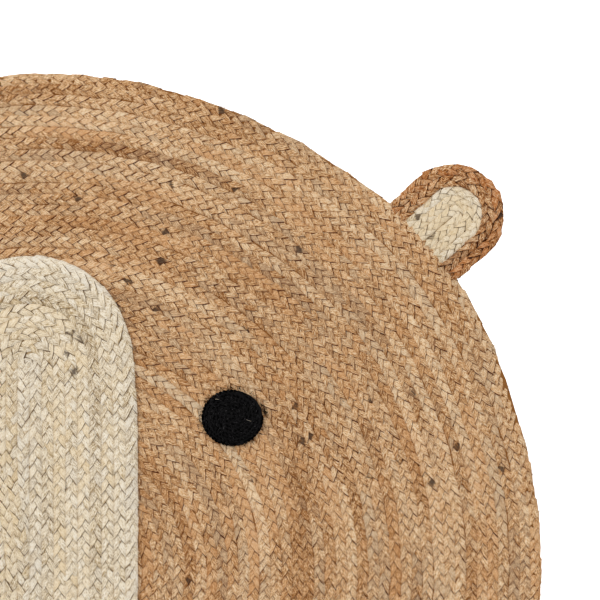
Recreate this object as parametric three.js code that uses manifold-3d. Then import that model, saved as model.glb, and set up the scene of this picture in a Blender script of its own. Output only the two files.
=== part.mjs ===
// A round floor rug of plaited jute with an animal's face, lying flat.
// The round is one long natural plait, coiled flat and sewn row to row.
// A cream oval coil, the muzzle, and two black yarn eyes are sewn on top of it.
// Each ear is a cream coil inside two rows of brown plait, sewn against the rim.
// The sizes below drive the shape. They are in millimetres, with +Z up, the origin on the
// floor under the middle of the round, and +Y towards the top of the face.

import * as THREE from 'three';
import { mergeVertices } from 'three/addons/utils/BufferGeometryUtils.js';
import Module from 'manifold-3d';

const gap = 0.3;                // clearance between pieces that touch
const rugRadius = 500;
const rugRows = 46;             // turns of plait from the middle to the rim
const rugThickness = 8;
const rugSides = 48;

const muzzleWidth = 634;        // end to end, across the face
const muzzleHeight = 216;
const muzzleMiddle = -13;       // its centre line, below the middle of the rug
const muzzleRows = 9;
const muzzleThickness = 7.5;
const muzzleSides = 48;
const shoulderAt = 240;         // how far from its middle the oval is drawn in a little
const shoulderReach = 64;
const shoulderDraw = 0.05;      // share of the height lost there

const eyeAcross = 155.3;        // from the middle line of the face to the middle of an eye
const eyeUp = 190.1;
const eyeWidth = 57.7;
const eyeHeight = 64.2;
const eyeRows = 8;              // turns of yarn
const eyeThickness = 4;
const eyeSides = 20;

const earAngle = 41;            // degrees from the top of the face to the middle of an ear
const earMiddle = 545.5;        // from the middle of the rug to the middle of an ear's round end
const earRadius = 50.7;
const earInnerRadius = 29.1;
const earStraight = 60;         // length of an ear's straight sides, which run in to the rim
const earBorderRows = 2;
const earInnerRows = 3;
const earThickness = 7.5;
const earInnerThickness = 7;
const earSides = 36;

const grooveShare = 0.16;       // depth of the groove between two rows, as a share of the thickness
const rimEase = 0.16;           // how far the underside stops short of the rim, as a share of a row

const jute = { color: 0xcda273, roughness: 0.95, metalness: 0 };
const bleachedJute = { color: 0xe0d4ba, roughness: 0.95, metalness: 0 };
const brownJute = { color: 0xa66f42, roughness: 0.95, metalness: 0 };
const blackYarn = { color: 0x1c1b1c, roughness: 0.9, metalness: 0 };

const wasm = await Module();
wasm.setup();

// Section of a flat coil between two radii: flat underneath, round at the rim, and over the
// top a crest for each row with a groove between rows. A coil with no hole ends on the axis.
function coilSection({ inner = 0, outer, rows, base = 0, thickness }) {
  const pitch = (outer - inner) / rows;
  const top = base + thickness;
  const groove = top - grooveShare * thickness;
  const points = [
    [inner, base],
    [outer - rimEase * pitch, base],
    [outer, base + 0.3 * thickness],
    [outer - 0.04 * pitch, base + 0.7 * thickness],
  ];
  for (let row = 0; row < rows; row += 1) {
    points.push([outer - (row + 0.5) * pitch, top]);
    points.push([outer - (row + 1) * pitch, groove]);
  }
  points[points.length - 1][0] = inner;
  if (inner > 0) points.push([inner, base]);
  return points.map(([x, y]) => new THREE.Vector2(x, y));
}

// The section turned about the vertical axis.
function roundCoil(section, sides) {
  const geometry = new THREE.LatheGeometry(section, sides);
  geometry.rotateX(Math.PI / 2);
  return geometry;
}

// Moves every point of a geometry to where the rule says.
function reshape(geometry, rule) {
  const position = geometry.attributes.position;
  const point = new THREE.Vector3();
  for (let i = 0; i < position.count; i += 1) {
    point.fromBufferAttribute(position, i);
    rule(point);
    position.setXYZ(i, point.x, point.y, point.z);
  }
  geometry.computeVertexNormals();
  return geometry;
}

// -1, 0 or 1 for the side that a point lies on, taking a hair's breadth as the middle.
function sideOf(value) {
  return Math.abs(value) < 1e-6 ? 0 : Math.sign(value);
}

// What is left of a geometry outside the round's own rim.
function cutByRim(geometry) {
  const reach = rugRadius + gap;
  const disc = [[0, -1], [reach, -1], [reach, 2 * rugThickness], [0, 2 * rugThickness]];
  const cutter = roundCoil(disc.map(([x, y]) => new THREE.Vector2(x, y)), rugSides);
  const left = toSolid(geometry).subtract(toSolid(cutter)).getMesh();
  const result = new THREE.BufferGeometry();
  result.setAttribute('position', new THREE.BufferAttribute(left.vertProperties, 3));
  result.setIndex(new THREE.BufferAttribute(left.triVerts, 1));
  result.computeVertexNormals();
  return result;
}

function toSolid(geometry) {
  const bare = geometry.clone();
  bare.deleteAttribute('normal');
  bare.deleteAttribute('uv');
  const welded = mergeVertices(bare);
  return new wasm.Manifold(new wasm.Mesh({
    numProp: 3,
    vertProperties: Float32Array.from(welded.attributes.position.array),
    triVerts: Uint32Array.from(welded.index.array),
  }));
}

function piece(name, geometry, finish) {
  const mesh = new THREE.Mesh(geometry, new THREE.MeshStandardMaterial({ ...finish, flatShading: true }));
  mesh.name = name;
  return mesh;
}

// The round: one plait coiled from the middle out to the rim.
function rugBody() {
  const section = coilSection({ outer: rugRadius, rows: rugRows, thickness: rugThickness });
  return piece('rug_body', roundCoil(section, rugSides), jute);
}

// The muzzle: a coil started on a straight length of plait, so that it grows into an oval,
// with its shoulders drawn in a little by the sewing.
function muzzlePatch() {
  const halfHeight = muzzleHeight / 2;
  const halfCore = muzzleWidth / 2 - halfHeight;
  const section = coilSection({
    outer: halfHeight,
    rows: muzzleRows,
    base: rugThickness + gap,
    thickness: muzzleThickness,
  });
  const geometry = reshape(roundCoil(section, muzzleSides), (point) => {
    point.x += halfCore * sideOf(point.x);
    const fromShoulder = (Math.abs(point.x) - shoulderAt) / shoulderReach;
    point.y *= 1 - shoulderDraw * Math.exp(-(fromShoulder ** 2));
  });
  const mesh = piece('muzzle_patch', geometry, bleachedJute);
  mesh.position.y = muzzleMiddle;
  return mesh;
}

// An eye: a flat disc of yarn wound round and round, a little taller than it is wide.
function eye(name, side) {
  const section = coilSection({
    outer: eyeHeight / 2,
    rows: eyeRows,
    base: rugThickness + gap,
    thickness: eyeThickness,
  });
  const geometry = roundCoil(section, eyeSides);
  geometry.scale(eyeWidth / eyeHeight, 1, 1);
  const mesh = piece(name, geometry, blackYarn);
  mesh.position.set(side * eyeAcross, eyeUp, 0);
  return mesh;
}

// One layer of an ear: a coil whose inner half is drawn straight in towards the rug and cut
// off along the rim.
function earLayer(section, side) {
  const geometry = reshape(roundCoil(section, earSides), (point) => {
    if (sideOf(point.y) < 0) point.y -= earStraight;
  });
  geometry.translate(0, earMiddle, 0);
  geometry.rotateZ(-side * THREE.MathUtils.degToRad(earAngle));
  return cutByRim(geometry);
}

function earBorder(name, side) {
  const section = coilSection({
    inner: earInnerRadius + gap,
    outer: earRadius,
    rows: earBorderRows,
    thickness: earThickness,
  });
  return piece(name, earLayer(section, side), brownJute);
}

function earInner(name, side) {
  const section = coilSection({ outer: earInnerRadius, rows: earInnerRows, thickness: earInnerThickness });
  return piece(name, earLayer(section, side), bleachedJute);
}

const rug = new THREE.Group();
rug.add(rugBody(), muzzlePatch());
for (const [word, side] of [['left', -1], ['right', 1]]) {
  rug.add(eye(`eye_${word}`, side));
  rug.add(earBorder(`ear_border_${word}`, side));
  rug.add(earInner(`ear_inner_${word}`, side));
}

export default rug;
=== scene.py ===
# A round jute rug with an animal's face, lying flat and seen from straight above.
# It is put together here as its maker does it: the round first, then the muzzle, the eyes
# and the ears, all but the ears with their loose fibres, and last the floor, the light and the
# camera.
# Sizes are in metres and angles in radians. The top of the face points along +Y.
import math
import bmesh
import bpy
import numpy as np
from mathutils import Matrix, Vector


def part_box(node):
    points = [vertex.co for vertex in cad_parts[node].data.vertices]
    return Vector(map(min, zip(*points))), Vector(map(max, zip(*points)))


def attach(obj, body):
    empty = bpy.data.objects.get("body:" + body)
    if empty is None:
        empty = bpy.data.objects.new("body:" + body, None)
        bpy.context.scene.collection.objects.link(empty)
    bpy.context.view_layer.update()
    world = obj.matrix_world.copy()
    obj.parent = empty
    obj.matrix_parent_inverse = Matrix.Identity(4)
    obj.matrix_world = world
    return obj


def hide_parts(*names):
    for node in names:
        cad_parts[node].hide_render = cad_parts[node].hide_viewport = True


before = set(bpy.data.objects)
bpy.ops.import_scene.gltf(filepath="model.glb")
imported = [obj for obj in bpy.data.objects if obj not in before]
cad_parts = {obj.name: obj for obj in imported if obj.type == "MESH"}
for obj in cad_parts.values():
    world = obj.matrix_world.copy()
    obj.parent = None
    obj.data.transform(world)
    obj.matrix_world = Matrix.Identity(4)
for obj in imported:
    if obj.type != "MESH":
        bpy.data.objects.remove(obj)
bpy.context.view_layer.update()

# The round
# One long plait of three flat strands of golden jute, about seventy metres of it. It is coiled
# flat from the middle to the rim and sewn row to row with thread that the plait swallows.
rug_radius = 0.5
rug_rows = 46
row_width = rug_radius / rug_rows
rim_reach = 0.012  # how far in from the rim the plait is shaped as its edge
rim_draw_in = 0.001
rim_sink = 0.0022


def wander(at, spacing, seed):
    """Seeded values from -1 to 1 that change smoothly along a length."""
    place = np.asarray(at, float) / spacing
    start = math.floor(place.min())
    knots = np.random.default_rng(seed).uniform(-1, 1, int(place.max() - start) + 3)
    step = np.floor(place).astype(int) - start
    share = place - np.floor(place)
    share = share * share * (3 - 2 * share)
    return knots[step] * (1 - share) + knots[step + 1] * share


def pick(number, seed):
    """A seeded value from 0 to 1 for each whole number."""
    mixed = np.sin(np.asarray(number, float) * 12.9898 + seed * 78.233) * 43758.5453
    return mixed - np.floor(mixed)


def eased(share):
    """0 to 1 with a soft start and end."""
    share = np.clip(share, 0, 1)
    return share * share * (3 - 2 * share)


def course(x, y, period, seed, **laid):
    """The line that a plait follows seen from above, with a clock that turns once a period.

    laid may say its base height, how much of its full width it has (fit), how far its outer
    edge sinks, how much of its full height it keeps (press), and how light and warm it is.
    """
    s = np.concatenate([[0], np.cumsum(np.hypot(np.diff(x), np.diff(y)))])
    pace = 2 * math.pi / (period * (1 + 0.13 * wander(s, 0.06, seed)))
    line = {"s": s, "x": x, "y": y, "seed": seed}
    line["clock"] = np.cumsum(pace * np.gradient(s))
    usual = {"base": 0, "fit": 1, "sink": 0, "press": 1, "light": 0, "warm": 0}
    for name, value in {**usual, **laid}.items():
        line[name] = value * np.ones_like(s)
    return line


def strand(line, plait, which, start, end):
    """The rings of one strand of a plait, from one reading of its clock to another."""
    seed = line["seed"] + 17 * which
    lag = 2 * math.pi * which / 3
    halves = np.arange(math.floor((start + lag) / math.pi), math.ceil((end + lag) / math.pi))
    rings = np.array(plait["rings"])
    leaf = (halves[:, None] + rings[:, 0]).ravel()
    inside = (leaf * math.pi > start + lag - 1e-6) & (leaf * math.pi < end + lag + 1e-6)
    leaf = leaf[inside]
    across, turned, rolled, high, wide = np.tile(rings[:, 1:], (len(halves), 1))[inside].T
    tier = np.where(np.floor(leaf + 1e-6) % 2 == 0, 1, -1)
    across = across * tier
    clock = leaf * math.pi - lag
    here = {}
    for name in ("s", "x", "y", "base", "fit", "sink", "press", "light", "warm"):
        here[name] = np.interp(clock, line["clock"], line[name])
    s, fit, press = here["s"], here["fit"], here["press"]
    s = s + 1e-7 * np.arange(len(s))
    loose = plait["loose"]
    ahead = np.stack([np.gradient(here["x"], s), np.gradient(here["y"], s)], 1)
    ahead /= np.linalg.norm(ahead, axis=1)[:, None]
    side = np.stack([-ahead[:, 1], ahead[:, 0], np.zeros_like(s)], 1)
    ahead = np.column_stack([ahead, np.zeros_like(s)])
    up = np.array([0.0, 0.0, 1.0])
    shift = loose * 0.0007 * wander(leaf, 1.3, seed + 1)
    lift = plait["lift"] * (0.4 + 0.6 * fit) * high * (1 + 0.2 * loose * wander(leaf, 1.5, seed + 2))
    height = here["base"] + press * (plait["middle"] + lift)
    height = height - here["sink"] * (0.5 + across / 2) ** 2
    centre = np.stack([here["x"], here["y"], height], 1)
    reach = plait["reach"] * fit * across * (1 + 0.09 * loose * wander(leaf, 0.9, seed + 13))
    centre = centre + side * (reach + shift)[:, None]
    turned = turned * (math.pi / 2 - plait["slant"]) + 0.1 * loose * wander(leaf, 1.5, seed + 11)
    tilt = plait["shingle"] * np.clip(high, 0, 1) + 0.08 * loose * wander(leaf, 1.5, seed + 10)
    columns = (turned, tilt, rolled * math.pi, tier)
    turned, tilt, rolled, tier = (column[:, None] for column in columns)
    level = ahead * np.cos(turned) + side * tier * np.sin(turned)
    flat = level * np.cos(tilt) + up * np.sin(tilt)
    out = (up * np.cos(tilt) - level * np.sin(tilt)) * tier * np.cos(rolled) + side * np.sin(rolled)
    width = plait["width"] * wide * (0.45 + 0.55 * fit)
    width = width * (1 + 0.16 * loose * wander(leaf, 1.5, seed + 3))
    thick = plait["thick"] * (1.4 - 0.4 * wide) * (0.6 + 0.4 * fit) * press
    width[[0, -1]] = 0
    thick[[0, -1]] = 0
    here.update(
        centre=centre,
        flat=flat * width[:, None],
        out=out * thick[:, None],
        leaf=leaf,
        s=s,
        seed=seed,
    )
    return here


# A strand's section, all the way round, as shares of its width and of its thickness.
strand_section = [(-0.5, -0.45), (-0.5, 0.45), (0.5, 0.45), (0.5, -0.45)]


def strand_mesh(name, strands, section, tones):
    """One mesh of many strands. Each starts as a flat grid, which is rolled up into its section
    and welded along its edge and at its ends. Flat strands keep their long edges crisp.
    """
    shape = bmesh.new()
    sides = len(section)
    for one in strands:
        bmesh.ops.create_grid(shape, x_segments=len(one["s"]) - 1, y_segments=sides, size=1)
    mesh = bpy.data.meshes.new(name)
    shape.to_mesh(mesh)
    shape.free()
    places, lays, colours = [], [], []
    for one, tone in zip(strands, tones):
        for j in range(sides + 1):
            wide, deep = section[j % sides]
            place = one["centre"] + one["flat"] * wide + one["out"] * deep
            place[:, 2] = np.maximum(place[:, 2], 0)
            places.append(place)
            lays.append(np.stack([one["s"], np.full_like(one["s"], wide + 0.5)], 1))
            colours.append(tone)
    mesh.vertices.foreach_set("co", np.concatenate(places).ravel())
    corner = np.zeros(len(mesh.loops), int)
    mesh.loops.foreach_get("vertex_index", corner)
    mesh.uv_layers.new(name="lay").data.foreach_set("uv", np.concatenate(lays)[corner].ravel())
    tone_layer = mesh.attributes.new("tone", "FLOAT_COLOR", "POINT")
    tone_layer.data.foreach_set("color", np.concatenate(colours).ravel())
    ends = np.zeros(2 * len(mesh.edges), int)
    mesh.edges.foreach_get("vertices", ends)
    ends = ends.reshape(-1, 2)
    crisp = (np.abs(ends[:, 0] - ends[:, 1]) == 1) & (sides == len(strand_section))
    mesh.attributes.new("sharp_edge", "BOOLEAN", "EDGE").data.foreach_set("value", crisp)
    shape = bmesh.new()
    shape.from_mesh(mesh)
    bmesh.ops.remove_doubles(shape, verts=shape.verts, dist=2e-6)
    bmesh.ops.reverse_faces(shape, faces=shape.faces)
    for face in shape.faces:
        face.smooth = True
    shape.to_mesh(mesh)
    shape.free()
    piece = bpy.data.objects.new(name, mesh)
    bpy.context.scene.collection.objects.link(piece)
    return piece


def strand_tones(one, flecks, stain_odds=0.006):
    """For each ring of a strand, how light, warm and stained it is, and how strong the painted shade
    along its leading edge is.
    """
    leaf = np.floor(one["leaf"] + 1e-6)
    seed = one["seed"]
    s = one["s"]
    light = 0.5 + one["light"] + 0.14 * wander(s, 0.16, seed + 5) + 0.22 * (pick(leaf, seed) - 0.5)
    light = light + 0.08 * wander(s, 0.035, seed + 6)
    warm = 0.5 + one["warm"] + 0.2 * wander(s, 0.11, seed + 7) + 0.3 * (pick(leaf, seed + 8) - 0.5)
    stain = np.clip((pick(leaf, seed + 9) - 1 + stain_odds) * 400, 0, 1)
    stain = stain * np.clip(1.4 - 2.5 * np.abs((one["leaf"] - leaf) * 2 - 0.5), 0, 1)
    for fx, fy, size in flecks:
        reach = np.hypot(one["centre"][:, 0] - fx, one["centre"][:, 1] - fy) / size
        stain = np.maximum(stain, np.clip(1.6 - reach, 0, 1))
    # Painted shade: how dark the band along the leading edge of each leaf is, stronger on some
    # leaves than on others.
    edge = 1.35 - 1.1 * pick(leaf, seed + 12)
    return np.clip(np.stack([light, warm, stain, edge], 1), 0, 1)


bulge_places = (math.radians(51.5), math.radians(128.5))
bulge_height = 0.0095
bulge_focus = 24
bulge_power = 4


def drawn_out(bearing, share_out):
    """How far the rows bulge where the ears are sewn on, most of all at the rim."""
    swell = 0
    for place in bulge_places:
        swell = swell + np.exp(bulge_focus * (np.cos(bearing - place) - 1))
    return bulge_height * swell * share_out**bulge_power


# Each turn of the coil is a circle that moves out by one row near the chin. The first turns
# take longer over it, so the plait starts as a spiral.
row_change = 0.12
turn = np.arange(0.7, rug_rows + row_change, 1 / 720)
row = np.floor(turn)
shifted = eased((turn - row) / np.maximum(row_change, 1 - turn / 12))
radius = row_width * (row - 0.5 + shifted)
body_fit = np.where(turn >= rug_rows, np.maximum(1 - shifted, 0.08), 1.0)
radius = np.where(turn >= rug_rows, rug_radius - body_fit * row_width / 2, radius)
bearing = -math.pi / 2 - 2 * math.pi * turn
share_out = radius / rug_radius
# The rows aren't quite round: each wave has a count of crests and a lean from row to row.
waves = [(3, 2.0), (5, -1.5), (8, 3.0), (13, 1.0), (21, -4.0), (34, 2.0), (55, 3.0)]
for number, (count, lean) in enumerate(waves):
    swell = np.sin(count * bearing + lean * share_out * 6 + 1.7 * number)
    radius = radius + 0.00036 * swell * share_out**2
radius = radius + 0.0004 * wander(row, 1.0, 5) + 0.0006 * wander(turn * share_out, 0.035, 6)
rim_share = eased((radius - rug_radius + rim_reach) / (rim_reach / 2))
bulge = drawn_out(bearing, share_out)
radius = radius - rim_draw_in * rim_share + bulge
body_course = course(
    radius * np.cos(bearing),
    radius * np.sin(bearing),
    period=0.0351,
    seed=100,
    fit=body_fit * (1 + bulge_power * bulge / rug_radius),
    sink=rim_sink * rim_share,
    light=0.15 * wander(row, 1.0, 8) + 0.2 * wander(turn * share_out, 0.03, 9),
    warm=0.15 * wander(row, 1.0, 10) + 0.25 * wander(turn * share_out, 0.024, 11),
)
# Each half turn of a strand, ring by ring: the share of it gone, then how far out from the middle
# of the plait it is, how it is cut across (from -1 square on top, by 0 along the edge, to 1 square
# underneath), how many half turns it has rolled over, how high it lies and how wide it is. It
# comes up in the middle, lies flat on top as a leaf, folds over at the edge and goes back under.
leaf_rings = [
    (0.0, 0.0, -1.0, 0.0, 0.4, 1.0),
    (0.15, 0.28, -1.0, 0.0, 0.95, 1.0),
    (0.34, 0.61, -0.55, 0.0, 1.0, 1.12),
    (0.52, 0.98, -0.06, 0.25, 0.62, 1.6),
    (0.58, 0.98, 0.0, 0.7, -0.2, 1.6),
    (0.75, 0.54, 1.0, 1.0, -1.0, 0.95),
]
jute_plait = {
    "rings": leaf_rings,
    "slant": 0.49,
    "reach": 0.0052,
    "lift": 0.0012,
    "middle": 0.004,
    "width": 0.007,
    "thick": 0.0028,
    "shingle": 0.18,
    "loose": 1.0,
}


class Value:
    """A number that varies over a surface, so that sums with it can be written plainly."""

    def __init__(self, finish, socket):
        self.finish = finish
        self.socket = socket

    def sum(self, operation, first, second):
        return self.finish.node("Math", {"operation": operation}, {0: first, 1: second})

    def __add__(self, other):
        return self.sum("ADD", self, other)

    def __radd__(self, other):
        return self.sum("ADD", other, self)

    def __sub__(self, other):
        return self.sum("SUBTRACT", self, other)

    def __rsub__(self, other):
        return self.sum("SUBTRACT", other, self)

    def __mul__(self, other):
        return self.sum("MULTIPLY", self, other)

    def __rmul__(self, other):
        return self.sum("MULTIPLY", other, self)


class Finish:
    """One finish of the rug, made of nodes round the surface shader."""

    def __init__(self, name, roughness, gloss):
        self.material = bpy.data.materials.new(name)
        self.material.use_nodes = True
        self.tree = self.material.node_tree
        self.surface = self.tree.nodes["Principled BSDF"]
        self.surface.inputs["Roughness"].default_value = roughness
        self.surface.inputs["Specular IOR Level"].default_value = gloss

    def feed(self, socket, value):
        """Links a varying value to a socket, or sets a plain one on it."""
        if isinstance(value, Value):
            self.tree.links.new(value.socket, socket)
        else:
            socket.default_value = value

    def node(self, kind, settings, inputs, output=0):
        """A node with its settings made first and then its sockets fed, as one of its outputs."""
        made = self.tree.nodes.new("ShaderNode" + kind)
        for name, setting in settings.items():
            if name == "stops":
                ramp = made.color_ramp
                while len(ramp.elements) < len(setting):
                    ramp.elements.new(1.0)
                for element, (place, colour) in zip(ramp.elements, setting):
                    element.position = place
                    element.color = colour
            else:
                setattr(made, name, setting)
        for socket, value in inputs.items():
            self.feed(made.inputs[socket], value)
        return Value(self, made.outputs[output])

    def noise(self, place, stretch, detail, roughness=0.5):
        """Noise from 0 to 1 on a place that is stretched first."""
        drawn = self.node("Mapping", {}, {"Vector": place, "Scale": stretch})
        sockets = {"Vector": drawn, "Scale": 1.0, "Detail": detail, "Roughness": roughness}
        return self.node("TexNoise", {}, sockets)

    def blend(self, share, first, second):
        """Two colours mixed by a share."""
        return self.node("Mix", {"data_type": "RGBA"}, {0: share, 6: first, 7: second}, output=2)

    def paint(self, colour, height, strength, depth):
        """The colour of the surface and its fine relief."""
        self.feed(self.surface.inputs["Base Color"], colour)
        sockets = {"Strength": strength, "Distance": depth, "Height": height}
        self.feed(self.surface.inputs["Normal"], self.node("Bump", {}, sockets))
        return self.material


def shade(red, green, blue):
    """A screen colour of 0 to 255 as the light that it stands for."""
    return (*(((v / 255 + 0.055) / 1.055) ** 2.4 for v in (red, green, blue)), 1.0)


def fibre_finish(name, stops, grey, orange, stain, painted_edge_shade, streaky):
    """Dry plant fibre: streaks and hairs along the strand, grey and orange runs, dark stains,
    painted shading that leaves each leaf lighter in its middle than at its sides, painted shade
    along one long side where the next leaf goes under, and fine relief.
    """
    finish = Finish(name, roughness=0.85, gloss=0.2)
    lay = finish.node("UVMap", {"uv_map": "lay"}, {})
    tone = finish.node("Attribute", {"attribute_name": "tone"}, {})
    light = finish.node("SeparateColor", {}, {0: tone}, output=0)
    warm = finish.node("SeparateColor", {}, {0: tone}, output=1)
    stained = finish.node("SeparateColor", {}, {0: tone}, output=2)
    edge_shade_share = finish.node("Attribute", {"attribute_name": "tone"}, {}, output=3)
    across = finish.node("SeparateXYZ", {}, {0: lay}, output=1)
    streak = finish.noise(lay, (110.0, 6.5, 1.0), 1.0, 0.6)
    hair = finish.noise(lay, (360.0, 11.0, 1.0), 2.0, 0.8)
    rounding_and_painted_shade = across * (1.0 - across)
    tone_here = light + (streak - 0.5) * streaky + (hair - 0.5) * (4.5 * streaky)
    # Painted shading: each leaf lighter along its middle and darker towards its long sides, as if
    # rounded under the light. The same rounding also raises the fine relief.
    tone_here = tone_here + (rounding_and_painted_shade - 0.17) * 0.7
    colour = finish.node("ValToRGB", {"stops": stops}, {0: tone_here})
    colour = finish.blend((warm - 0.5) * 1.1, colour, orange)
    colour = finish.blend((0.42 - warm) * 1.1, colour, grey)
    fleck = finish.node("Clamp", {}, {0: (stained + hair * 0.8 + streak * 0.8 - 1.45) * 4.0})
    colour = finish.blend(fleck * 0.9, colour, stain)
    # Painted shade: a dark band on one long side of each strand, on its top and its wall, where the
    # next leaf goes under it.
    shade_band = finish.node("Clamp", {}, {0: (across - 0.95 + (streak - 0.5) * 0.2) * 30.0})
    colour = finish.blend(shade_band * edge_shade_share, colour, painted_edge_shade)
    return finish.paint(colour, streak * 0.5 + hair + rounding_and_painted_shade * 3.0, 0.9, 0.0008)


jute_finish = fibre_finish(
    "golden_jute",
    [
        (0.0, shade(134, 81, 34)),
        (0.3, shade(195, 144, 92)),
        (0.55, shade(221, 176, 127)),
        (0.8, shade(233, 195, 149)),
        (1.0, shade(244, 218, 182)),
    ],
    grey=shade(190, 168, 140),
    orange=shade(214, 156, 102),
    stain=shade(56, 36, 26),
    # The colour of the painted shade along the leaf edges.
    painted_edge_shade=shade(84, 28, 0),
    streaky=1.0,
)


def heart(node, name, low, high, draw_in, material):
    """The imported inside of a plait: the solid of the frame, thinner and a little smaller."""
    mesh = bpy.data.meshes.new(name)
    shape = bmesh.new()
    shape.from_mesh(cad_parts[node].data)
    bmesh.ops.remove_doubles(shape, verts=shape.verts, dist=1e-6)
    lowest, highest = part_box(node)
    middle = (lowest + highest) / 2
    size = highest - lowest
    bmesh.ops.translate(shape, verts=shape.verts, vec=(-middle.x, -middle.y, -lowest.z))
    reduce = (1 - 2 * draw_in / size.x, 1 - 2 * draw_in / size.y, (high - low) / size.z)
    bmesh.ops.scale(shape, verts=shape.verts, vec=reduce)
    bmesh.ops.translate(shape, verts=shape.verts, vec=(middle.x, middle.y, lowest.z + low))
    shape.to_mesh(mesh)
    shape.free()
    mesh.materials.append(material)
    piece = bpy.data.objects.new(name, mesh)
    bpy.context.scene.collection.objects.link(piece)
    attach(piece, "root")
    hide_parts(node)
    return piece


def gap_shade_finish(name, dark, pale):
    """The fibre that shows in the gaps between the strands, painted darker to stand in for the shade
    that lies there.
    """
    finish = Finish(name, roughness=1.0, gloss=0.1)
    place = finish.node("TexCoord", {}, {}, output=3)
    grain = finish.noise(place, (400.0, 400.0, 400.0), 3.0)
    return finish.paint(finish.blend(grain, dark, pale), grain, 0.5, 0.0006)


rug_heart = heart(
    "rug_body",
    "rug_heart",
    low=0.0024,
    high=0.0054,
    draw_in=0.0008,
    # Painted shade: the round's gap fill is a darker brown than its strands.
    material=gap_shade_finish("gap_shade_jute", shade(112, 66, 26), shade(162, 112, 62)),
)
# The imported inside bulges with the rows.
spots = np.zeros(3 * len(rug_heart.data.vertices))
rug_heart.data.vertices.foreach_get("co", spots)
spots = spots.reshape(-1, 3)
out = np.maximum(np.hypot(spots[:, 0], spots[:, 1]), row_width)
drawn = drawn_out(np.arctan2(spots[:, 1], spots[:, 0]), out / rug_radius)
spots[:, :2] *= (1 + drawn / out)[:, None]
rug_heart.data.vertices.foreach_set("co", spots.ravel())


def plait_pieces(name, line, plait, pieces, finish, node, flecks=(), stain_odds=0.006):
    """A whole plait as a few pieces, each with its part of all three strands. A strand passes
    from one piece to the next where it is tucked in under the others.
    """
    made = []
    tucked_in = plait["rings"][-1][0]
    ends = np.linspace(line["clock"][0], line["clock"][-1], pieces + 1)
    for part in range(pieces):
        strands = []
        for which in range(3):
            shift = 2 * math.pi * which / 3
            reach = []
            for number in (part, part + 1):
                end = ends[number]
                if number not in (0, pieces):
                    end = (round((end + shift) / math.pi) + tucked_in) * math.pi - shift
                reach.append(end)
            strands.append(strand(line, plait, which, *reach))
        tones = [strand_tones(one, flecks, stain_odds) for one in strands]
        label = name if pieces == 1 else f"{name}_{part + 1}"
        piece = strand_mesh(label, strands, strand_section, tones)
        piece.data.materials.append(finish)
        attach(piece, "root")
        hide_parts(node)
        made.append(piece)
    return made


# Dark root ends that were plaited in, as across, up and size in metres.
root_ends = [
    (-0.3119, 0.1169, 0.0045),
    (-0.2035, 0.2333, 0.0035),
    (-0.3068, 0.0677, 0.0045),
    (-0.3851, 0.1921, 0.0035),
    (-0.1734, 0.3005, 0.0035),
    (-0.3139, 0.0426, 0.003),
    (-0.0941, 0.2082, 0.003),
    (-0.2918, 0.0838, 0.003),
    (-0.1654, 0.2523, 0.003),
    (-0.1102, 0.3577, 0.003),
    (-0.2436, 0.2012, 0.0028),
    (-0.3881, 0.1279, 0.003),
    (-0.1724, 0.3276, 0.003),
    (-0.1373, 0.2684, 0.003),
    (-0.1072, 0.2825, 0.003),
    (-0.0951, 0.3246, 0.003),
]
rug_strands = plait_pieces(
    "rug_strands", body_course, jute_plait, 4, jute_finish, "rug_body", root_ends
)

fibre_section = [(0.5, 0.0), (-0.25, 0.43), (-0.25, -0.43)]


def loose_fibres(
    name, seed, roots, headings, longest, height, finish, light=(0.2, 1.1), thick=0.0004
):
    """Single fibres that have worked loose, each a thin bent hair lying on its plait."""
    rng = np.random.default_rng(seed)
    share = np.linspace(0, 1, 6)
    fibres, tones = [], []
    for (x, y), heading in zip(roots, headings):
        length = longest * rng.uniform(0.35, 1)
        way = heading + rng.uniform(-1.1, 1.1) * (share - 0.5)
        rise = rng.uniform(0, 0.0006) + 0.0006 * np.sin(math.pi * share)
        centre = np.stack(
            [
                x + length * np.cumsum(np.cos(way)) / len(share),
                y + length * np.cumsum(np.sin(way)) / len(share),
                height + rise,
            ],
            1,
        )
        size = thick * rng.uniform(0.6, 1.1) * np.ones_like(share)
        size[[0, -1]] = 0
        sideways = np.stack([-np.sin(way), np.cos(way), np.zeros_like(way)], 1)
        fibres.append(
            {
                "s": length * share + rng.uniform(0, 9),
                "centre": centre,
                "flat": sideways * size[:, None],
                "out": np.outer(size, (0.0, 0.0, 1.0)),
            }
        )
        tone = [rng.uniform(*light), rng.uniform(0.3, 0.8), 0.0, 0.0]
        tones.append(np.tile(tone, (len(share), 1)))
    piece = strand_mesh(name, fibres, fibre_section, tones)
    piece.data.materials.append(finish)
    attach(piece, "root")
    return piece


# Some lie on the round along its rows, some stand out of its rim, and a few stand out together
# in one tuft.
on_rows, on_rim, in_tuft = 1500, 240, 9
tuft_bearing = math.atan2(0.1801, -0.4684)
rim_root = rug_radius - 0.0035
chance = np.random.default_rng(71)
away = rug_radius * np.sqrt(chance.uniform(0.01, 0.98, on_rows))
away = np.concatenate([away, np.full(on_rim, rim_root)])
bearing = chance.uniform(-math.pi, math.pi, len(away))
away = np.concatenate([away, np.full(in_tuft, rug_radius - 0.006)])
bearing = np.concatenate([bearing, tuft_bearing + chance.uniform(-0.006, 0.006, in_tuft)])
along_row = math.pi / 2 + chance.uniform(-0.9, 0.9, len(away))
outward = chance.uniform(-1.4, 1.4, len(away))
lean = np.where(away < rim_root - 0.0005, along_row, outward)
lean[-in_tuft:] = chance.uniform(-0.5, 0.5, in_tuft)
away = away + drawn_out(bearing, away / rug_radius)
rug_fibres = loose_fibres(
    "rug_fibres",
    72,
    np.stack([away * np.cos(bearing), away * np.sin(bearing)], 1),
    bearing + lean,
    longest=0.017,
    height=0.0066,
    finish=jute_finish,
)

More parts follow.
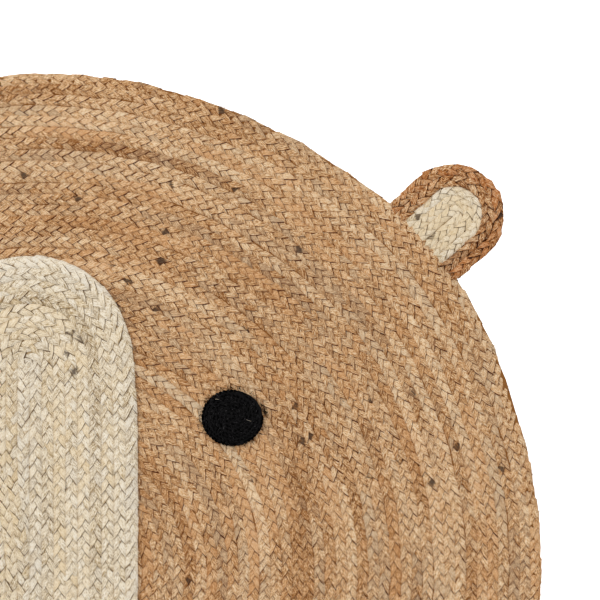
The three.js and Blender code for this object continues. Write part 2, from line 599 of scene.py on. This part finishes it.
# The muzzle
# A broader plait of bleached, cream jute, started on a straight length and wound round it into
# an oval. It is sewn on top of the round, and its outermost row rolls down to the rug.
muzzle_row = 0.012
muzzle_rows = 9
muzzle_core = 0.209  # half of the straight length that it starts on
muzzle_middle = -0.013
muzzle_floor = 0.0083
muzzle_sink, muzzle_sink_reach = 0.0034, 0.014
shoulder_at, shoulder_reach, shoulder_draw = 0.24, 0.064, 0.05

turn = np.arange(0, muzzle_rows + row_change, 1 / 900)
row = np.floor(turn)
shifted = eased((turn - row) / row_change)
distance = muzzle_row * (row - 0.5 + shifted)
muzzle_fit = np.where(turn < 1, np.maximum(shifted, 0.08), 1.0)
distance = np.where(turn < 1, muzzle_fit * muzzle_row / 2, distance)
muzzle_fit = np.where(turn >= muzzle_rows, np.maximum(1 - shifted, 0.08), muzzle_fit)
outer_edge = muzzle_row * muzzle_rows
distance = np.where(turn >= muzzle_rows, outer_edge - muzzle_fit * muzzle_row / 2, distance)
distance = distance + 0.0003 * wander(turn * distance, 0.05, 21) + 0.0002 * wander(row, 1.0, 22)

# A turn goes along the lower side, round the left end, back along the upper side and round the
# right end. The sewing draws its shoulders in a little.
half_round = math.pi * distance
gone = (turn - row) * (4 * muzzle_core + 2 * half_round)
left_end = (gone - muzzle_core) / distance
right_end = (gone - 3 * muzzle_core - half_round) / distance
stages = [
    gone < muzzle_core,
    gone < muzzle_core + half_round,
    gone < 3 * muzzle_core + half_round,
    gone < 3 * muzzle_core + 2 * half_round,
]
muzzle_x = np.select(
    stages,
    [
        -gone,
        -muzzle_core - distance * np.sin(left_end),
        gone - 2 * muzzle_core - half_round,
        muzzle_core + distance * np.sin(right_end),
    ],
    4 * muzzle_core + 2 * half_round - gone,
)
muzzle_y = np.select(
    stages,
    [-distance, -distance * np.cos(left_end), distance, distance * np.cos(right_end)],
    -distance,
)
from_shoulder = (np.abs(muzzle_x) - shoulder_at) / shoulder_reach
muzzle_y = muzzle_y * (1 - shoulder_draw * np.exp(-(from_shoulder**2)))
muzzle_course = course(
    muzzle_x,
    muzzle_middle + muzzle_y,
    period=0.0369,
    seed=300,
    base=muzzle_floor,
    fit=muzzle_fit,
    light=0.1 * wander(row, 1.0, 31) + 0.14 * wander(turn * distance, 0.02, 32),
    warm=0.14 * wander(row, 1.0, 33) + 0.16 * wander(turn * distance, 0.015, 34),
    sink=muzzle_sink * eased((distance - outer_edge + muzzle_sink_reach) / 0.008),
)
cream_plait = {
    "rings": leaf_rings,
    "slant": 0.51,
    "reach": 0.0057,
    "lift": 0.0011,
    "middle": 0.0037,
    "width": 0.0076,
    "thick": 0.0026,
    "shingle": 0.13,
    "loose": 0.7,
}
cream_finish = fibre_finish(
    "bleached_jute",
    [
        (0.0, shade(166, 138, 98)),
        (0.3, shade(224, 205, 172)),
        (0.55, shade(242, 227, 200)),
        (0.8, shade(246, 233, 211)),
        (1.0, shade(252, 243, 226)),
    ],
    grey=shade(222, 216, 206),
    orange=shade(240, 212, 164),
    stain=shade(84, 66, 50),
    # The colour of the painted shade along the leaf edges.
    painted_edge_shade=shade(92, 60, 14),
    streaky=0.95,
)
muzzle_heart = heart(
    "muzzle_patch",
    "muzzle_heart",
    low=0.0022,
    high=0.0048,
    draw_in=0.004,
    # Painted shade: the muzzle's gap fill is darker than its cream strands.
    material=gap_shade_finish("gap_shade_bleached_jute", shade(150, 122, 84), shade(200, 174, 136)),
)
muzzle_root_ends = [
    (-0.2336, 0.0376, 0.004),
    (-0.2035, 0.0326, 0.004),
    (-0.2386, 0.0286, 0.004),
    (-0.2195, 0.0236, 0.003),
    (-0.1182, 0.0186, 0.003),
    (-0.0872, 0.0236, 0.0025),
]
muzzle_strands = plait_pieces(
    "muzzle_strands",
    muzzle_course,
    cream_plait,
    1,
    cream_finish,
    "muzzle_patch",
    muzzle_root_ends,
    stain_odds=0.001,
)
on_muzzle = 420
across = chance.uniform(-0.3, 0.3, on_muzzle)
upward = muzzle_middle + chance.uniform(-0.092, 0.092, on_muzzle)
muzzle_fibres = loose_fibres(
    "muzzle_fibres",
    73,
    np.stack([across, upward], 1),
    chance.uniform(-0.8, 0.8, on_muzzle),
    longest=0.014,
    height=muzzle_floor + 0.0062,
    finish=cream_finish,
)

# The eyes
# Each is a flat disc of soft black yarn of two twisted plies, wound round and round from its
# middle and sewn on top of the round. Its last end frays at the outer edge.
eye_across = 0.1553
eye_up = 0.1901
eye_width = 0.0577
eye_height = 0.0642
eye_turns = 8
yarn = 0.0039
yarn_twist = 0.0075  # length of yarn in which its plies go round once
wound_share, wound_shift = 0.955, -0.0014  # of the height, which the frayed end fills
fray_at = 1.85
on_edge, in_fray = 60, 30

black_finish = Finish("black_yarn", roughness=1.0, gloss=0.0)
yarn_lay = black_finish.node("UVMap", {"uv_map": "lay"}, {})
fluff = black_finish.noise(yarn_lay, (240.0, 7.0, 1.0), 3.0, 0.7)
fluff_tone = black_finish.blend((fluff - 0.5) * 6.0 - 0.52, shade(1, 1, 1), shade(156, 152, 154))
black_yarn = black_finish.paint(fluff_tone, fluff, 0.9, 0.001)
packed_black = gap_shade_finish("packed_black_yarn", shade(4, 4, 4), shade(26, 25, 26))
ply_section = [(0.5 * math.cos(a), 0.5 * math.sin(a)) for a in np.arange(5) * 2 * math.pi / 5]
up = np.array([0.0, 0.0, 1.0])
for word, side in (("left", -1), ("right", 1)):
    node = f"eye_{word}"
    eye_heart = heart(
        node, f"{node}_heart", low=0.0004, high=0.003, draw_in=0.002, material=packed_black
    )
    turn = np.sqrt(np.linspace(0.35**2, (eye_turns - 0.05) ** 2, 460))
    radius = eye_height / 2 / eye_turns * (turn - 0.02) + 0.0006 * wander(turn, 0.17, 40 + side)
    bearing = side * (2 * math.pi * turn + 0.4)
    x = radius * np.sin(bearing) * eye_width / eye_height
    y = wound_share * radius * np.cos(bearing) + wound_shift
    s = np.concatenate([[0], np.cumsum(np.hypot(np.diff(x), np.diff(y)))])
    middle = np.stack([x, y, np.zeros_like(x)], 1)
    ahead = np.gradient(middle, axis=0)
    ahead /= np.linalg.norm(ahead, axis=1)[:, None]
    sideways = np.stack([-ahead[:, 1], ahead[:, 0], np.zeros_like(x)], 1)
    plies = []
    for ply in range(2):
        twist = (2 * math.pi * s / yarn_twist + math.pi * ply)[:, None]
        centre = middle + 0.24 * yarn * (sideways * np.cos(twist) + up * np.sin(twist))
        centre += (side * eye_across, eye_up, muzzle_floor + 0.49 * yarn)
        size = 0.6 * yarn * (1 + 0.2 * wander(s, 0.004, 50 + ply + side))
        size[[0, -1]] = 0
        flat = sideways * size[:, None]
        plies.append({"s": s, "centre": centre, "flat": flat, "out": np.outer(size, up)})
    plain = [np.tile([0.5, 0.5, 0.0, 0.0], (len(s), 1))] * 2
    eye_yarn = strand_mesh(f"{node}_yarn", plies, ply_section, plain)
    eye_yarn.data.materials.append(black_yarn)
    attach(eye_yarn, "root")
    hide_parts(node)
    bearing = chance.uniform(-math.pi, math.pi, on_edge + in_fray)
    bearing[on_edge:] = fray_at + chance.uniform(-0.2, 0.2, in_fray)
    edge_x = side * (eye_across - 0.48 * eye_width * np.cos(bearing))
    edge_y = eye_up + 0.48 * eye_height * np.sin(bearing)
    leaning = np.arctan2(np.sin(bearing), -side * np.cos(bearing))
    leaning = leaning + chance.uniform(-1.3, 1.3, on_edge + in_fray)
    eye_fibres = loose_fibres(
        f"{node}_fibres",
        80 + side,
        np.stack([edge_x, edge_y], 1),
        leaning,
        longest=0.0065,
        height=muzzle_floor + 0.0015,
        finish=black_yarn,
        thick=0.0007,
    )
    pale_roots = [(0.1523, 0.2052), (0.1535, 0.2025), (0.1737, 0.1716), (0.1731, 0.1718)]
    pale_fibres = loose_fibres(
        f"{node}_pale_fibres",
        84 + side,
        [(side * root_x, root_y) for root_x, root_y in pale_roots],
        [math.pi / 2 + side * 0.4, math.pi / 2 + side * 0.4, 1.5, 1.6],
        longest=0.0075,
        height=muzzle_floor + 0.0044,
        finish=cream_finish,
        light=(0.5, 0.9),
    )

# The ears
# Each is three nested bends of cream plait inside two bends of darker, orange-brown plait. The
# ends of the bends are tucked under the rim of the round and sewn to it.
ear_angle = math.radians(41)
ear_middle = 0.5455
ear_tuck = 0.011  # how far the bends run in under the true circle of the rim
ear_flattened = 0.012  # length of each end that the rim presses flat
ear_sink = 0.0025
border_flat, border_area = (0.1014, 0.097), 0.0049
inner_flat, inner_area = (0.0582, 0.075), 0.0041
# For each bend, how far it lies from the ear's middle line, what it belongs to, and how light
# and warm it is.
ear_rows = [
    (0.00485, "inner", 0.1, 0.45),
    (0.01455, "inner", 0.1, 0.35),
    (0.02425, "inner", 0.12, 0.25),
    (0.03473, "border", 0.12, -0.1),
    (0.04538, "border", 0.0, 0.18),
]
outermost = len(ear_rows) - 1
small_cream_plait = {**cream_plait, "reach": 0.0045, "width": 0.0062, "middle": 0.0036}
brown_plait = {
    **jute_plait,
    "reach": 0.0049,
    "lift": 0.0019,
    "thick": 0.0036,
    "shingle": 0.3,
    "loose": 1.4,
}
brown_finish = fibre_finish(
    "brown_jute",
    [
        (0.0, shade(96, 46, 10)),
        (0.3, shade(158, 98, 47)),
        (0.55, shade(200, 141, 85)),
        (0.8, shade(230, 180, 126)),
        (1.0, shade(252, 222, 182)),
    ],
    grey=shade(150, 122, 96),
    orange=shade(194, 112, 50),
    stain=shade(44, 30, 24),
    # The colour of the painted shade along the leaf edges.
    painted_edge_shade=shade(66, 26, 2),
    streaky=1.0,
)
# Painted shade: a darker fill for the gaps of the ear borders.
gap_shade_brown = gap_shade_finish("gap_shade_brown_jute", shade(72, 34, 8), shade(116, 66, 28))
gap_shade_cream = bpy.data.materials["gap_shade_bleached_jute"]
ear_root_ends = [(-0.3581, 0.4580, 0.0045), (-0.3551, 0.3757, 0.0035), (-0.3351, 0.3908, 0.0035)]
for word, side in (("left", -1), ("right", 1)):
    lean = np.array([side * math.sin(ear_angle), math.cos(ear_angle)])
    sideways = np.array([math.cos(ear_angle), -side * math.sin(ear_angle)])
    for part in ("border", "inner"):
        node = f"ear_{part}_{word}"
        if part == "border":
            slot, cover, gap_shade = "brown_jute", brown_finish, gap_shade_brown
            plait, period, flat, area = brown_plait, 0.0335, border_flat, border_area
        else:
            slot, cover, gap_shade = "bleached_jute", cream_finish, gap_shade_cream
            plait, period, flat, area = small_cream_plait, 0.03, inner_flat, inner_area
        ear_heart = heart(
            node, f"{node}_heart", low=0.0024, high=0.0042, draw_in=0.001, material=gap_shade
        )
        bends = []
        for number, (distance, belongs, light, warm) in enumerate(ear_rows):
            if belongs != part:
                continue
            start = math.sqrt(rug_radius**2 - distance**2) - ear_tuck
            straight = ear_middle - start
            gone = np.arange(0, 2 * straight + math.pi * distance, 0.0008)
            swing = np.clip((gone - straight) / distance, 0, math.pi)
            across = -distance * np.cos(swing)
            along = start + np.minimum(gone, straight) + distance * np.sin(swing)
            along = along - np.maximum(gone - straight - math.pi * distance, 0)
            across = across + 0.0004 * wander(gone, 0.03, 60 + number)
            place = np.outer(along, lean) + np.outer(across, sideways)
            from_end = np.minimum(gone, gone[-1] - gone)
            line = course(
                place[:, 0],
                place[:, 1],
                period=period,
                seed=400 + 50 * number,
                press=0.5 + 0.5 * eased((from_end - ear_flattened) / 0.006),
                sink=ear_sink if number == outermost else 0.0,
                light=light,
                warm=warm,
            )
            for which in range(3):
                bends.append(strand(line, plait, which, line["clock"][0], line["clock"][-1]))
        tones = [strand_tones(one, ear_root_ends, 0.004) for one in bends]
        ear_strands = strand_mesh(f"{node}_strands", bends, strand_section, tones)
        ear_strands.data.materials.append(cover)
        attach(ear_strands, "root")
        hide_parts(node)

# The floor, the light and the camera
# A plain white floor in soft, even light, and a camera straight above one quarter of the rug.
# The floor that shows glows white, and a duller one below it returns the light.
floors = [("floor", -0.0004, 0.9, 1.0), ("floor_bounce", -0.0008, 0.45, 0.0)]
for name, depth, tone, glow in floors:
    shape = bmesh.new()
    bmesh.ops.create_grid(shape, x_segments=1, y_segments=1, size=4)
    bmesh.ops.translate(shape, verts=shape.verts, vec=(0, 0, depth))
    mesh = bpy.data.meshes.new(name)
    shape.to_mesh(mesh)
    shape.free()
    plain = Finish(name, roughness=0.9, gloss=0.1)
    plain.surface.inputs["Base Color"].default_value = (tone, tone, tone, 1.0)
    plain.surface.inputs["Emission Color"].default_value = (1.0, 1.0, 1.0, 1.0)
    plain.surface.inputs["Emission Strength"].default_value = glow
    mesh.materials.append(plain.material)
    floor = bpy.data.objects.new(name, mesh)
    bpy.context.scene.collection.objects.link(floor)
    shows = glow > 0
    floor.visible_camera = shows
    floor.visible_diffuse = not shows
    floor.visible_glossy = not shows
    floor.visible_shadow = not shows

room = bpy.data.worlds.new("pale_room")
bpy.context.scene.world = room
room.use_nodes = True
room.node_tree.nodes["Background"].inputs["Color"].default_value = (1.0, 1.0, 1.0, 1.0)
room.node_tree.nodes["Background"].inputs["Strength"].default_value = 0.79

lamp = bpy.data.lights.new("window_light", "AREA")
lamp.size = 2.2
lamp.energy = 26
window = bpy.data.objects.new("window_light", lamp)
bpy.context.scene.collection.objects.link(window)
window.location = (-1.5, -0.9, 2.6)
window.rotation_euler = (0.3346, -0.5233, 0)

camera = bpy.data.objects.new("camera", bpy.data.cameras.new("camera"))
bpy.context.scene.collection.objects.link(camera)
picture_width = 0.60204  # what the picture takes in at the height of the plait's top
camera.data.lens = 100
camera.data.sensor_width = 36
camera.location = (-0.27273, 0.25737, 0.007 + picture_width * 100 / 36)
camera.rotation_euler = (0, 0, math.pi / 2)
bpy.context.scene.camera = camera
bpy.context.scene.view_settings.view_transform = "Standard"
